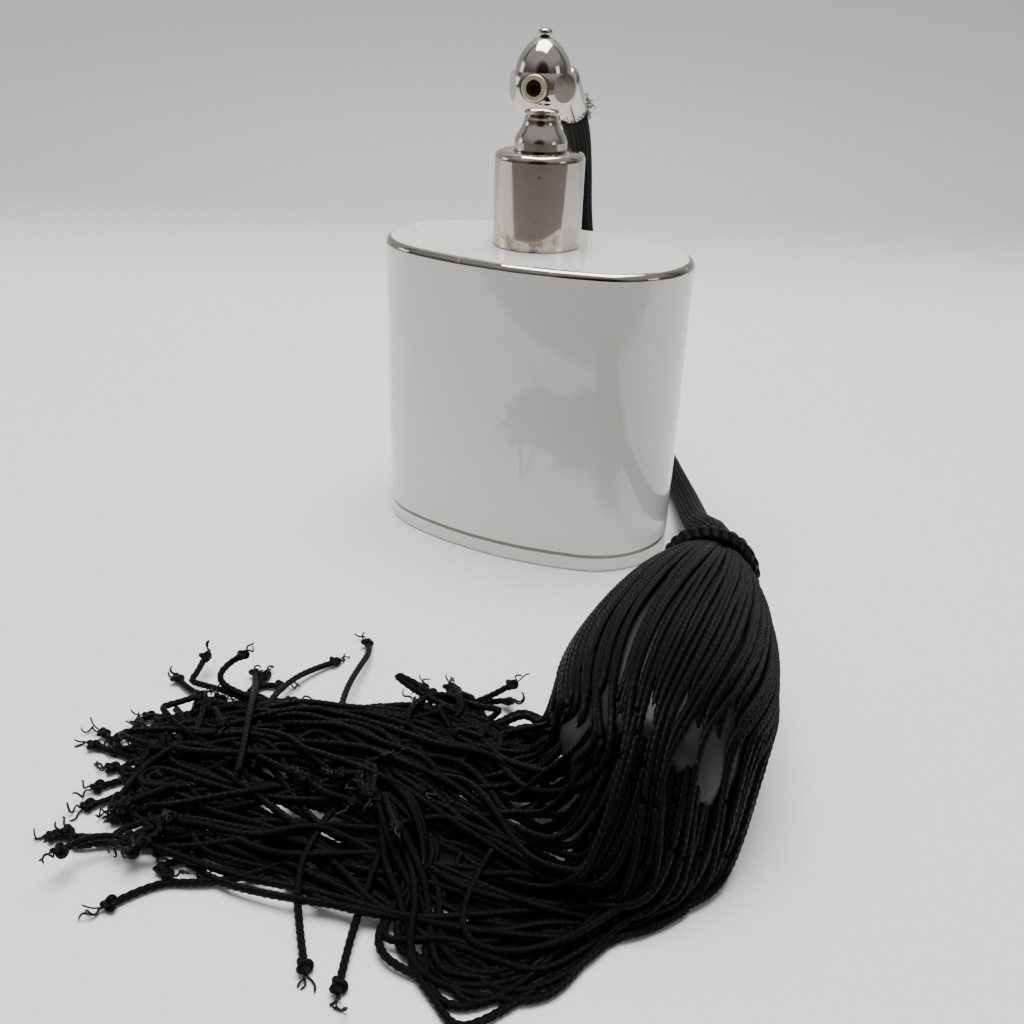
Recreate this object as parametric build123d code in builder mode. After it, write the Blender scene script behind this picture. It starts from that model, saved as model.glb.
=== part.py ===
# Bulb atomiser: a porcelain scent bottle, a plated spray head that screws onto its neck,
# a braided hose, and a rubber bulb in a cover of twisted cords that ends in a tassel.
# Millimetres, +Z up. The origin is the centre of the bottle's base, the bottle's width
# runs along X, and its front faces -Y.
import os
from math import atan2, cos, pi, radians, sin, tan

from build123d import *

os.makedirs("parts", exist_ok=True)

# ---- driving dimensions ----------------------------------------------------------------
body_half_width = 39.6      # bottle, along X
body_half_depth = 23.75     # bottle, along Y
body_end_radius = 21.2      # the two tighter arcs at the ends of the oval
body_height = 75.5          # base to shoulder
body_wall = 3.2
body_floor = 4.0
shoulder_wall = 3.6
shoulder_round = 1.8
foot_round = 0.7
cavity_round = 2.0

neck_radius = 8.5           # porcelain neck, hidden by the collar
neck_wall = 1.9
neck_height = 13.0
ferrule_wall = 0.8          # threaded sleeve cemented round the neck
ferrule_height = 10.5
thread_pitch = 1.5
thread_depth = 0.35

liner_wall = 0.8
collar_height = 21.9
collar_wall = 0.6
collar_top = 1.0
collar_round = 1.8
collar_seat_gap = 0.2       # collar edge above the shoulder
liner_height = 12.0
turning_clearance = 0.05    # collar on the thread and on the head's spigot
axial_play = 0.08

gasket_thickness = 1.2
flange_overhang = 0.4       # flange beyond the porcelain neck
flange_thickness = 1.5
boss_radius = 7.4
spigot_radius = 3.4
foot_radius = 6.3
foot_height = 1.9
waist_radius = 4.15
waist_rise = 6.8            # foot's underside to the waist
skirt_rise = 2.3            # foot's rim to the middle of the skirt
lip_radius = 3.8
pedestal_height = 7.6       # foot's underside to the acorn
acorn_flat = 7.07           # axis to each of the six flats
belt_crown = 0.83           # belt's rounded corners, outside the flats
bowl_height = 3.2
bowl_bulge = 2.3            # bowl's middle, outside its lip
bowl_bulge_rise = 1.55
belt_height = 6.2
dome_radius = 6.5
dome_height = 7.5
dome_wall = 1.1
dome_hollow_rise = 1.2      # from the spigot's top to the finial's stem
dome_spigot_radius = 4.6
dome_spigot_height = 2.0
finial_radius = 1.68
finial_height = 1.6
finial_stem_radius = 0.8
head_turn = 9.0             # degrees that the nozzle points towards +X from -Y

bezel_radius = 2.9
bezel_bore_radius = 1.8
bezel_depth = 0.7
tip_bore_radius = 0.45
tip_cup_radius = 1.1
tip_length = 4.4
jet_tube_radius = 0.8
jet_tube_bore = 0.45
siphon_radius = 0.9
siphon_bore = 0.5
dip_tube_radius = 1.6
dip_tube_gap = 3.0          # tube's lower end above the bottle's inner floor
siphon_grip = 10.0          # length of the metal siphon inside the dip tube

arm_radius = 2.3
arm_bore = 0.9
arm_reach = 21.6            # axis to the bottom of the hose ferrule's socket
arm_drop = 1.7              # nozzle's height above that point
arm_seat_depth = 2.0        # arm's end, let into the acorn's rear flat
arm_overrun = 2.0           # past the socket's axis, trimmed to the ferrule
hose_tilt = 35.0            # degrees that the hose ferrule points down
hose_ferrule_wall = 0.6
hose_ferrule_length = 9.5   # depth of its socket
hose_ferrule_cap = 5.5      # solid part at the closed end
hose_ferrule_round = 2.46
barb_grip = 7.0

hose_radius = 3.5
hose_tube_radius = 2.4
hose_tube_bore = 1.4
hose_run_out = 8.0          # straight run beyond the ferrule's rim
hose_run_in = 13.0          # straight run before the bulb's neck

bulb_turn = 7.3             # degrees that the bulb points towards +X from -Y
bulb_length = 81.5          # neck face to the front of the cord cover
bulb_widest = 53.5          # neck face to the widest place
bulb_radius = 19.4          # over the cords
bulb_lift = 0.2
cover_thickness = 1.4
rubber_wall = 1.8
gathered_front = 5.5        # gathered cords in front of the rubber's front end
rubber_neck_radius = 5.2
rubber_neck_length = 9.0
rubber_neck_start = 1.0
fitting_radius = 2.6
fitting_length = 11.0
ring_stand_off = 1.945      # middle of the neck's plaited ring, outside the gathered cords
ring_plait_radius = 2.3
ring_place = 4.0

valve_radius = 4.4
valve_length = 7.0
valve_ball_radius = 1.6
valve_ball_gap = 0.15
valve_travel = 0.8
valve_inlet_radius = 0.9
cage_thickness = 1.0

tassel_height = 9.0
tassel_floor = 0.3
tassel_corner = 5.0
tassel_edge_round = 2.0
strand_radius = 0.65
limp_bend = 3.0             # a cord's least bend, in diameters
run_share = 0.45            # share of the shorter run that an arc takes up

# ---- sizes that follow from others --------------------------------------------------------
neck_bore_radius = neck_radius - neck_wall
ferrule_radius = neck_radius + ferrule_wall
collar_radius = ferrule_radius + turning_clearance + liner_wall + collar_wall
flange_radius = neck_radius + flange_overhang
acorn_radius = acorn_flat + belt_crown
hose_ferrule_radius = hose_radius + hose_ferrule_wall
rubber_front = bulb_length - gathered_front
shoulder_z = body_height
neck_top_z = shoulder_z + neck_height
collar_top_z = shoulder_z + collar_height
flange_z = neck_top_z + gasket_thickness
boss_z = collar_top_z - collar_top - axial_play
foot_z = collar_top_z + axial_play
acorn_z = foot_z + pedestal_height
belt_z = acorn_z + bowl_height
nozzle_z = belt_z + belt_height / 2
dome_z = belt_z + belt_height
finial_z = dome_z + dome_height
dip_tube_z = body_floor + dip_tube_gap
siphon_top_z = nozzle_z - jet_tube_radius


def finish(piece, name):
    """Label one sub-part and write its STEP file."""
    piece.part.label = name
    export_step(piece.part, f"parts/{name}.step")


# ---- bottle: slip-cast porcelain, glazed, with an oval body of four arcs ------------------
def oval(half_width, half_depth, end_radius):
    """Draw a closed oval of two end arcs and two broad side arcs, tangent where they meet."""
    reach = half_width - end_radius
    side_radius = (reach**2 + half_depth**2 - end_radius**2) / (2 * (half_depth - end_radius))
    slope = atan2(side_radius - half_depth, reach)
    join_x = reach + end_radius * cos(slope)
    join_y = end_radius * sin(slope)
    ThreePointArc((join_x, -join_y), (half_width, 0), (join_x, join_y))
    ThreePointArc((join_x, join_y), (0, half_depth), (-join_x, join_y))
    ThreePointArc((-join_x, join_y), (-half_width, 0), (-join_x, -join_y))
    ThreePointArc((-join_x, -join_y), (0, -half_depth), (join_x, -join_y))


with BuildPart() as bottle:
    with BuildSketch(Plane.XY):
        with BuildLine():
            oval(body_half_width, body_half_depth, body_end_radius)
        make_face()
    extrude(amount=body_height)
    fillet(bottle.edges().group_by(Axis.Z)[-1], shoulder_round)
    fillet(bottle.edges().group_by(Axis.Z)[0], foot_round)
    with BuildSketch(Plane.XY.offset(body_height)):
        Circle(neck_radius)
    extrude(amount=neck_height)
    with BuildPart(mode=Mode.PRIVATE) as cavity:
        with BuildSketch(Plane.XY.offset(body_floor)):
            with BuildLine():
                oval(body_half_width - body_wall, body_half_depth - body_wall, body_end_radius - body_wall)
            make_face()
        extrude(amount=body_height - body_floor - shoulder_wall)
        fillet(cavity.edges().group_by(Axis.Z)[-1] + cavity.edges().group_by(Axis.Z)[0], cavity_round)
    add(cavity.part, mode=Mode.SUBTRACT)
    with BuildSketch(Plane.XY.offset(neck_top_z)):
        Circle(neck_bore_radius)
    extrude(amount=-(neck_height + shoulder_wall + 1), mode=Mode.SUBTRACT)
finish(bottle, "porcelain_bottle")

# Threaded brass sleeve, cemented round the neck. The thread is a row of ridges.
ridge_count = int((ferrule_height - 2 * thread_pitch) / thread_pitch)
with BuildPart() as neck_ferrule:
    with BuildSketch(Plane.XY.offset(shoulder_z)):
        Circle(ferrule_radius)
        Circle(neck_radius, mode=Mode.SUBTRACT)
    extrude(amount=ferrule_height)
    for index in range(ridge_count):
        ridge_z = shoulder_z + thread_pitch * (index + 1.25)
        with BuildSketch(Plane.XY.offset(ridge_z)):
            Circle(ferrule_radius)
            Circle(ferrule_radius - thread_depth, mode=Mode.SUBTRACT)
        extrude(amount=thread_pitch / 2, mode=Mode.SUBTRACT)
finish(neck_ferrule, "neck_thread_sleeve")

# ---- collar: drawn, plated cup that turns on the head and screws onto the sleeve ----------
collar_z = shoulder_z + collar_seat_gap
with BuildPart() as collar:
    with BuildSketch(Plane.XY.offset(collar_z)):
        Circle(collar_radius)
    extrude(amount=collar_top_z - collar_z)
    fillet(collar.edges().group_by(Axis.Z)[-1], collar_round)
    with BuildPart(mode=Mode.PRIVATE) as collar_inside:
        with BuildSketch(Plane.XY.offset(collar_z)):
            Circle(collar_radius - collar_wall)
        extrude(amount=collar_top_z - collar_top - collar_z)
        fillet(collar_inside.edges().group_by(Axis.Z)[-1], collar_round - collar_wall)
    add(collar_inside.part, mode=Mode.SUBTRACT)
    with BuildSketch(Plane.XY.offset(collar_top_z)):
        Circle(spigot_radius + turning_clearance)
    extrude(amount=-2 * collar_top, mode=Mode.SUBTRACT)
finish(collar, "collar_shell")

with BuildPart() as liner:
    with BuildSketch(Plane.XY.offset(collar_z)):
        Circle(collar_radius - collar_wall)
        Circle(ferrule_radius + turning_clearance, mode=Mode.SUBTRACT)
    extrude(amount=liner_height)
finish(liner, "collar_thread_liner")

# ---- head, from the mouth upwards ---------------------------------------------------------
with BuildPart() as gasket:
    with BuildSketch(Plane.XY.offset(neck_top_z)):
        Circle(neck_radius)
        Circle(dip_tube_radius, mode=Mode.SUBTRACT)
    extrude(amount=gasket_thickness)
finish(gasket, "mouth_gasket")

with BuildPart() as seat:
    with BuildSketch(Plane.XY.offset(flange_z)):
        Circle(flange_radius)
    extrude(amount=flange_thickness)
    with BuildSketch(Plane.XY.offset(flange_z)):
        Circle(boss_radius)
    extrude(amount=boss_z - flange_z)
    with BuildSketch(Plane.XY.offset(boss_z)):
        Circle(spigot_radius)
    extrude(amount=foot_z + foot_height - boss_z)
    with BuildSketch(Plane.XY.offset(foot_z + foot_height)):
        Circle(siphon_radius)
    extrude(amount=flange_z - foot_z - foot_height, mode=Mode.SUBTRACT)
    with BuildSketch(Plane.XY.offset(flange_z)):
        Circle(dip_tube_radius)
    extrude(amount=flange_thickness, mode=Mode.SUBTRACT)
finish(seat, "head_seat")

with BuildPart() as pedestal:
    with BuildSketch(Plane.XZ):
        with BuildLine():
            rim_z = foot_z + foot_height
            waist_z = foot_z + waist_rise
            Polyline((siphon_radius, rim_z), (spigot_radius, rim_z), (spigot_radius, foot_z),
                     (foot_radius, foot_z), (foot_radius, rim_z))
            Spline((foot_radius, rim_z), ((foot_radius + waist_radius) / 2, rim_z + skirt_rise),
                   (waist_radius, waist_z), tangents=((-0.25, 1), (0, 1)))
            Polyline((waist_radius, waist_z), (lip_radius, acorn_z), (siphon_radius, acorn_z),
                     (siphon_radius, rim_z))
        make_face()
    revolve(axis=Axis.Z)
finish(pedestal, "pedestal_foot")

siphon_z = flange_z + flange_thickness - siphon_grip
with BuildPart() as siphon:
    with BuildSketch(Plane.XY.offset(siphon_z)):
        Circle(siphon_radius)
        Circle(siphon_bore, mode=Mode.SUBTRACT)
    extrude(amount=siphon_top_z - siphon_z)
finish(siphon, "siphon_tube")

with BuildPart() as dip_tube:
    with BuildSketch(Plane.XY.offset(dip_tube_z)):
        Circle(dip_tube_radius)
        Circle(siphon_radius, mode=Mode.SUBTRACT)
    extrude(amount=flange_z + flange_thickness - dip_tube_z)
finish(dip_tube, "dip_tube")

# ---- acorn: turned brass with six flats, its front flat towards the nozzle ----------------
nozzle_plane = Plane(
    origin=(0, 0, nozzle_z),
    x_dir=(cos(radians(head_turn)), sin(radians(head_turn)), 0),
    z_dir=(sin(radians(head_turn)), -cos(radians(head_turn)), 0),
)
with BuildPart() as acorn:
    with BuildSketch(Plane.XZ):
        with BuildLine():
            Line((0, acorn_z), (lip_radius, acorn_z))
            ThreePointArc((lip_radius, acorn_z), (lip_radius + bowl_bulge, acorn_z + bowl_bulge_rise),
                          (acorn_flat, belt_z))
            ThreePointArc((acorn_flat, belt_z), (acorn_radius, nozzle_z), (acorn_flat, dome_z))
            Polyline((acorn_flat, dome_z), (0, dome_z), (0, acorn_z))
        make_face()
    revolve(axis=Axis.Z)
    with BuildSketch(Plane.XY.offset(acorn_z)):
        RegularPolygon(acorn_flat, 6, major_radius=False, rotation=head_turn)
    extrude(amount=dome_z - acorn_z, mode=Mode.INTERSECT)
    with BuildSketch(Plane.XY.offset(dome_z)):
        Circle(dome_spigot_radius)
    extrude(amount=dome_spigot_height)
    with BuildSketch(Plane.XY.offset(acorn_z)):
        Circle(siphon_radius)
    extrude(amount=siphon_top_z - acorn_z, mode=Mode.SUBTRACT)
    with BuildSketch(nozzle_plane.offset(-acorn_flat)):
        Circle(jet_tube_radius)
    extrude(amount=2 * acorn_flat, mode=Mode.SUBTRACT)
    with BuildSketch(nozzle_plane.offset(acorn_flat)):
        Circle(bezel_bore_radius)
    extrude(amount=-tip_length, mode=Mode.SUBTRACT)
    with BuildSketch(nozzle_plane.offset(-acorn_flat)):
        Circle(arm_radius)
    extrude(amount=arm_seat_depth, mode=Mode.SUBTRACT)
finish(acorn, "acorn_body")


def dome_profile(outer_radius, height, top_radius):
    """Draw the ogive of the dome: one broad arc from its rim up to the finial."""
    ThreePointArc((outer_radius, dome_z), (0.74 * outer_radius, dome_z + 0.58 * height),
                  (top_radius, dome_z + height))


with BuildPart() as dome:
    with BuildSketch(Plane.XZ):
        with BuildLine():
            dome_profile(dome_radius, dome_height, finial_stem_radius)
            Polyline((finial_stem_radius, finial_z), (finial_stem_radius, finial_z - 2 * dome_wall),
                     (0.6 * dome_spigot_radius, finial_z - 2 * dome_wall - dome_hollow_rise),
                     (dome_spigot_radius, dome_z + dome_spigot_height), (dome_spigot_radius, dome_z),
                     (dome_radius, dome_z))
        make_face()
    revolve(axis=Axis.Z)
finish(dome, "acorn_cap")

with BuildPart() as finial:
    with BuildSketch(Plane.XZ):
        with BuildLine():
            Polyline((0, finial_z - 2 * dome_wall), (finial_stem_radius, finial_z - 2 * dome_wall),
                     (finial_stem_radius, finial_z), (0.85 * finial_radius, finial_z))
            Spline((0.85 * finial_radius, finial_z), (finial_radius, finial_z + 0.4 * finial_height),
                   (0, finial_z + finial_height), tangents=((1, 1), (-1, 0)))
            Line((0, finial_z + finial_height), (0, finial_z - 2 * dome_wall))
        make_face()
    revolve(axis=Axis.Z)
finish(finial, "finial_button")

# ---- nozzle: bezel, screwed-in tip and the jet tube behind it -----------------------------
with BuildPart() as bezel:
    with BuildSketch(nozzle_plane.offset(acorn_flat)):
        Circle(bezel_radius)
        Circle(bezel_bore_radius, mode=Mode.SUBTRACT)
    extrude(amount=bezel_depth)
    fillet(bezel.faces().sort_by(Axis.Y)[0].edges(), bezel_depth / 3)
finish(bezel, "nozzle_bezel")

with BuildPart() as tip:
    with BuildSketch(nozzle_plane.offset(acorn_flat - tip_length)):
        Circle(bezel_bore_radius)
        Circle(tip_bore_radius, mode=Mode.SUBTRACT)
    extrude(amount=tip_length)
    with BuildSketch(nozzle_plane.offset(acorn_flat)):
        Circle(tip_cup_radius)
    extrude(amount=-tip_length / 3, mode=Mode.SUBTRACT)
finish(tip, "nozzle_tip")

with BuildPart() as jet_tube:
    with BuildSketch(nozzle_plane.offset(-acorn_flat + arm_seat_depth)):
        Circle(jet_tube_radius)
        Circle(jet_tube_bore, mode=Mode.SUBTRACT)
    extrude(amount=2 * acorn_flat - arm_seat_depth - tip_length)
finish(jet_tube, "jet_tube")

# ---- air inlet at the back: arm, hose ferrule and the barb inside it ----------------------
back = Vector(-sin(radians(head_turn)), cos(radians(head_turn)), 0)
down_back = back * cos(radians(hose_tilt)) - Vector(0, 0, 1) * sin(radians(hose_tilt))
side = back.cross(Vector(0, 0, 1))
ferrule_top = back * arm_reach + Vector(0, 0, nozzle_z - arm_drop)
hose_plane = Plane(origin=ferrule_top, x_dir=side, z_dir=down_back)
with BuildPart() as arm:
    with BuildSketch(nozzle_plane.offset(-acorn_flat + arm_seat_depth)):
        Circle(arm_radius)
        Circle(arm_bore, mode=Mode.SUBTRACT)
    extrude(amount=-(arm_reach - acorn_flat + arm_seat_depth + arm_overrun))
    with BuildSketch(hose_plane.offset(-hose_ferrule_cap)):
        Circle(2 * hose_ferrule_radius)
    extrude(amount=6 * hose_ferrule_cap, mode=Mode.SUBTRACT)
finish(arm, "air_arm")

with BuildPart() as hose_ferrule:
    with BuildSketch(hose_plane.offset(-hose_ferrule_cap)):
        Circle(hose_ferrule_radius)
    extrude(amount=hose_ferrule_length + hose_ferrule_cap)
    fillet(hose_ferrule.faces().sort_by(Axis.Z)[-1].edges(), hose_ferrule_round)
    with BuildSketch(hose_plane):
        Circle(hose_radius)
    extrude(amount=hose_ferrule_length, mode=Mode.SUBTRACT)
    with BuildSketch(hose_plane.offset(-hose_ferrule_cap)):
        Circle(arm_bore)
    extrude(amount=hose_ferrule_cap, mode=Mode.SUBTRACT)
    add(arm.part, mode=Mode.SUBTRACT)
finish(hose_ferrule, "hose_ferrule")

with BuildPart() as barb:
    with BuildSketch(hose_plane):
        Circle(hose_tube_bore)
        Circle(arm_bore, mode=Mode.SUBTRACT)
    extrude(amount=barb_grip)
finish(barb, "hose_barb")


# ---- cords and hose: straight runs joined by tangent arcs ---------------------------------
def bend_radii(points):
    """Return one arc radius per corner: as large as its two runs allow."""
    places = [Vector(*point) for point in points]
    radii = []
    for before, corner, after in zip(places, places[1:], places[2:]):
        turn = radians((corner - before).get_angle(after - corner))
        shorter = min((corner - before).length, (after - corner).length)
        radii.append(run_share * shorter / tan(turn / 2))
    return radii


def lay_cord(name, points, radius, bore=0.0):
    """Sweep a round cord or tube along its route, and print its bends and its volume."""
    radii = bend_radii(points)
    with BuildPart() as cord:
        with BuildLine() as route:
            FilletPolyline(*points, radius=radii)
        path = route.wires()[0]
        with BuildSketch(Plane(origin=path @ 0, z_dir=path % 0)):
            Circle(radius)
            if bore:
                Circle(bore, mode=Mode.SUBTRACT)
        sweep(path=path)
    section = pi * (radius**2 - bore**2)
    least = min(radii) / (2 * radius)
    print(f"{name}: length {path.length:.1f}, least bend {least:.1f} diameters,"
          f" volume over section times length {cord.part.volume / section / path.length:.4f}")
    if least < limp_bend:
        print(f"{name}: radii {[round(radius_here, 1) for radius_here in radii]}")
    finish(cord, name)
    return cord


bulb_ahead = Vector(sin(radians(bulb_turn)), -cos(radians(bulb_turn)), 0)
bulb_neck = Vector(61.2, -34.3, bulb_radius + bulb_lift)
bulb_plane = Plane(origin=bulb_neck, x_dir=(bulb_ahead.Y, -bulb_ahead.X, 0), z_dir=bulb_ahead)

# Braided hose over a thin rubber tube: out of its ferrule, down behind the bottle to the
# surface it stands on, and forward past the bottle's right-hand end to the bulb.
hose_points = [
    tuple(ferrule_top),
    tuple(ferrule_top + down_back * (hose_ferrule_length + hose_run_out)),
    (-9.2, 48.0, 87.0),
    (-12.0, 57.0, 72.0),
    (-13.0, 65.5, 57.0),
    (-12.5, 73.0, 43.0),
    (-9.0, 78.5, 29.5),
    (-2.4, 79.2, 17.6),
    (6.6, 73.4, 8.8),
    (15.5, 63.2, 3.9),
    (23.2, 50.7, 3.6),
    (31.6, 36.4, 3.7),
    (40.0, 21.0, 5.0),
    (47.2, 4.0, 8.6),
    (52.4, -9.5, 14.4),
    tuple(bulb_neck - bulb_ahead * hose_run_in),
    tuple(bulb_neck),
]
lay_cord("hose_sleeve", hose_points, hose_radius, hose_tube_radius)
lay_cord("hose_tube", hose_points, hose_tube_radius, hose_tube_bore)


# ---- bulb: moulded rubber under a cover of twisted cords -----------------------------------
def bulb_radius_at(place):
    """Outer radius over the cords behind the widest place, which tapers slowly to the neck."""
    return bulb_radius * (1 - ((bulb_widest - place) / bulb_widest) ** 1.51) ** 0.5


def bulb_shape(inset, first, last):
    """Turn the bulb's profile, pulled in by inset: a taper, then half an ellipse in front."""
    places = [first + (bulb_widest - first) * share for share in (0, 0.08, 0.22, 0.42, 0.66, 1)]
    rear = [(bulb_radius_at(place) - inset, place) for place in places]
    nose = last - bulb_widest
    front = [((bulb_radius - inset) * cos(radians(angle)), bulb_widest + nose * sin(radians(angle)))
             for angle in (20, 40, 60, 78)]
    step = 0.1
    slope = (bulb_radius_at(first + step) - bulb_radius_at(first)) / step
    with BuildPart(mode=Mode.PRIVATE) as turned:
        with BuildSketch(Plane.XZ):
            with BuildLine():
                Polyline((0, last), (0, first), rear[0])
                Spline(*rear, *front, (0, last), tangents=((slope, 1), (-1, 0)))
            make_face()
        revolve(axis=Axis.Z)
    return bulb_plane.from_local_coords(turned.part)


rubber_body = bulb_shape(cover_thickness, rubber_neck_length, rubber_front)
with BuildPart() as cover:
    add(bulb_shape(0, ring_place, bulb_length))
    with BuildSketch(bulb_plane):
        Circle(rubber_neck_radius)
    extrude(amount=rubber_neck_length + 2, mode=Mode.SUBTRACT)
    add(rubber_body, mode=Mode.SUBTRACT)
    with BuildSketch(bulb_plane.offset(rubber_front)):
        Circle(valve_radius)
    extrude(amount=-valve_length, mode=Mode.SUBTRACT)
finish(cover, "bulb_cord_cover")

with BuildPart() as rubber:
    add(rubber_body)
    with BuildSketch(bulb_plane.offset(rubber_neck_start)):
        Circle(rubber_neck_radius)
    extrude(amount=rubber_neck_length + rubber_neck_start)
    add(bulb_shape(cover_thickness + rubber_wall, rubber_neck_length + 3, rubber_front - valve_length),
        mode=Mode.SUBTRACT)
    with BuildSketch(bulb_plane):
        Circle(fitting_radius)
    extrude(amount=rubber_neck_length + 12, mode=Mode.SUBTRACT)
    with BuildSketch(bulb_plane.offset(rubber_front)):
        Circle(valve_radius)
    extrude(amount=-valve_length - 1, mode=Mode.SUBTRACT)
finish(rubber, "rubber_bulb")

with BuildPart() as fitting:
    with BuildSketch(bulb_plane):
        Circle(fitting_radius)
    extrude(amount=fitting_length)
    with BuildSketch(bulb_plane):
        Circle(hose_tube_bore)
    extrude(amount=-barb_grip)
    with BuildSketch(bulb_plane.offset(fitting_length)):
        Circle(arm_bore)
    extrude(amount=-(fitting_length + barb_grip), mode=Mode.SUBTRACT)
finish(fitting, "bulb_neck_fitting")

with BuildPart() as ring:
    with BuildPart(mode=Mode.PRIVATE) as plait:
        with BuildSketch(Plane.XZ):
            with Locations((bulb_radius_at(ring_place) + ring_stand_off, ring_place)):
                Circle(ring_plait_radius)
        revolve(axis=Axis.Z)
    add(bulb_plane.from_local_coords(plait.part))
    add(bulb_shape(0, ring_place, bulb_length), mode=Mode.SUBTRACT)
finish(ring, "neck_plait_ring")

# Intake valve in the rubber's front end: squeezing the bulb throws the ball on its seat.
chamber_radius = valve_ball_radius + valve_ball_gap
chamber_back = rubber_front - valve_length + cage_thickness
chamber_length = 2 * valve_ball_radius + valve_travel + 2 * valve_ball_gap
ball_place = chamber_back + valve_ball_gap + valve_ball_radius
with BuildPart() as valve_body:
    with BuildSketch(bulb_plane.offset(chamber_back)):
        Circle(valve_radius)
        Circle(chamber_radius, mode=Mode.SUBTRACT)
    extrude(amount=chamber_length)
    with BuildSketch(bulb_plane.offset(chamber_back + chamber_length)):
        Circle(valve_radius)
        Circle(valve_inlet_radius, mode=Mode.SUBTRACT)
    extrude(amount=rubber_front - chamber_back - chamber_length)
finish(valve_body, "intake_valve_body")

with BuildPart() as cage:
    with BuildSketch(bulb_plane.offset(chamber_back - cage_thickness)):
        Circle(valve_radius)
        with PolarLocations(0.6 * valve_radius, 6):
            Circle(0.12 * valve_radius, mode=Mode.SUBTRACT)
    extrude(amount=cage_thickness)
finish(cage, "valve_cage")

with BuildPart() as ball:
    with Locations(bulb_neck + bulb_ahead * ball_place):
        Sphere(valve_ball_radius)
finish(ball, "valve_ball")

# ---- tassel: the cover's cords run on past the bulb and lie in a tangle --------------------
tassel_outline = [
    (50, -84), (36, -92), (24, -89), (12, -95), (3, -103), (-4, -112), (-4, -124), (5, -132),
    (18, -134), (34, -133), (48, -128), (62, -129), (76, -119), (84, -100), (80, -84),
]
with BuildPart() as tassel:
    with BuildSketch(Plane.XY.offset(tassel_floor)):
        with BuildLine():
            FilletPolyline(*tassel_outline, radius=tassel_corner, close=True)
        make_face()
    extrude(amount=tassel_height)
    fillet(tassel.edges().group_by(Axis.Z)[-1], tassel_edge_round)
    add(bulb_shape(0, ring_place, bulb_length), mode=Mode.SUBTRACT)
finish(tassel, "tassel_bundle")

# Cords that stand clear of the tangle, each from inside the bundle to its knotted end.
strands = [
    [(4, -122, 5), (-2, -114, 5), (-6.4, -105, 4), (-8.6, -96.5, 2.6), (-8, -89, 1.6), (-5.6, -83.5, 1)],
    [(13, -109, 6), (8, -101, 5), (4, -92.5, 4), (1.6, -84.5, 3), (0, -78, 2.4), (-3, -74.5, 1.2)],
    [(1, -113, 3.4), (-7, -109, 3), (-14.5, -106.6, 2.2), (-22, -107.2, 1.2), (-30.5, -104, 1)],
    [(4, -126, 7.2), (-1, -117.5, 7.4), (-6.6, -109.5, 6.6), (-11.6, -102, 4), (-17.5, -95, 1.2)],
    [(4.2, -120.6, 3.4), (-8, -115.5, 3), (-15, -112.6, 2.2), (-21, -114, 1.4), (-27, -116, 1)],
    [(4, -126, 4), (-6, -127, 4), (-14, -125.5, 3), (-20, -122, 1.8), (-26, -119.5, 1)],
    [(8, -129, 3), (-1, -132, 3), (-10, -131.2, 2.4), (-16, -128.6, 1.4), (-22, -130.5, 1)],
    [(20, -130, 5), (12, -136.5, 4), (3, -141, 2), (-5, -143, 1.2), (-11.5, -144.4, 1), (-18, -147.6, 0.9)],
    [(24, -131, 3), (18, -139.2, 1.6), (10.5, -144.4, 1), (4, -147.2, 0.9), (1.2, -154, 0.9)],
    [(22, -120.6, 5), (23, -132, 4.6), (25.6, -138.6, 2.6), (30, -144, 1.2), (35, -149.5, 1)],
    [(32, -120, 5), (34.6, -128, 5), (36.6, -136, 2.8), (38.4, -143, 1.2), (41.4, -150, 1)],
    [(12, -124, 6), (5, -130.4, 6), (-2.4, -135, 4.4), (-9, -136.4, 2), (-14, -133, 1)],
    [(72, -119, 5), (67.6, -130, 2), (63.5, -140.5, 1), (57, -146.4, 0.9), (50, -141.6, 1), (47.4, -131, 2.4),
     (46.4, -122, 5)],
    [(78, -113, 7), (71, -126.6, 4.6), (63, -134.4, 3), (54.6, -136.4, 3), (50.8, -130, 4), (51, -120, 6)],
]
for index, points in enumerate(strands, start=1):
    lay_cord(f"tassel_strand_{index:02d}", points, strand_radius)
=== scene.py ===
# Bulb atomiser: a glazed porcelain scent bottle with platinum lines, a nickel-plated acorn
# spray head, a braided hose, and a rubber bulb dressed in twisted cords that end in a tassel.
from math import cos, pi, radians, sin

import bpy
import numpy as np
from mathutils import Matrix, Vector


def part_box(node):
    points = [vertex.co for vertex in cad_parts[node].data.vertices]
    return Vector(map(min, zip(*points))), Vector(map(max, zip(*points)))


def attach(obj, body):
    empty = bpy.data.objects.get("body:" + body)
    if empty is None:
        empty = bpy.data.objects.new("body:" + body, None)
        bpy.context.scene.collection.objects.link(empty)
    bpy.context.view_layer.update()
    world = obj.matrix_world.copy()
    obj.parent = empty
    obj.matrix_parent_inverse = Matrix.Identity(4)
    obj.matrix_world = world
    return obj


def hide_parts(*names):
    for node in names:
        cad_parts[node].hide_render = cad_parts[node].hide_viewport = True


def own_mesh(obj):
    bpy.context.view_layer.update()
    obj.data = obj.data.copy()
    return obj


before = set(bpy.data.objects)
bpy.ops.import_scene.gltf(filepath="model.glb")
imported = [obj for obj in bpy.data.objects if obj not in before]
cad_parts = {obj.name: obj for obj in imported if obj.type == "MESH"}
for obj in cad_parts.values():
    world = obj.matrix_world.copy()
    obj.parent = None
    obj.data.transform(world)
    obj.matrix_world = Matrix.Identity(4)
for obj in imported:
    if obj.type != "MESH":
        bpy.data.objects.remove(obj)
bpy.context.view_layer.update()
MM = 0.001
rng = np.random.default_rng(11)

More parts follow.
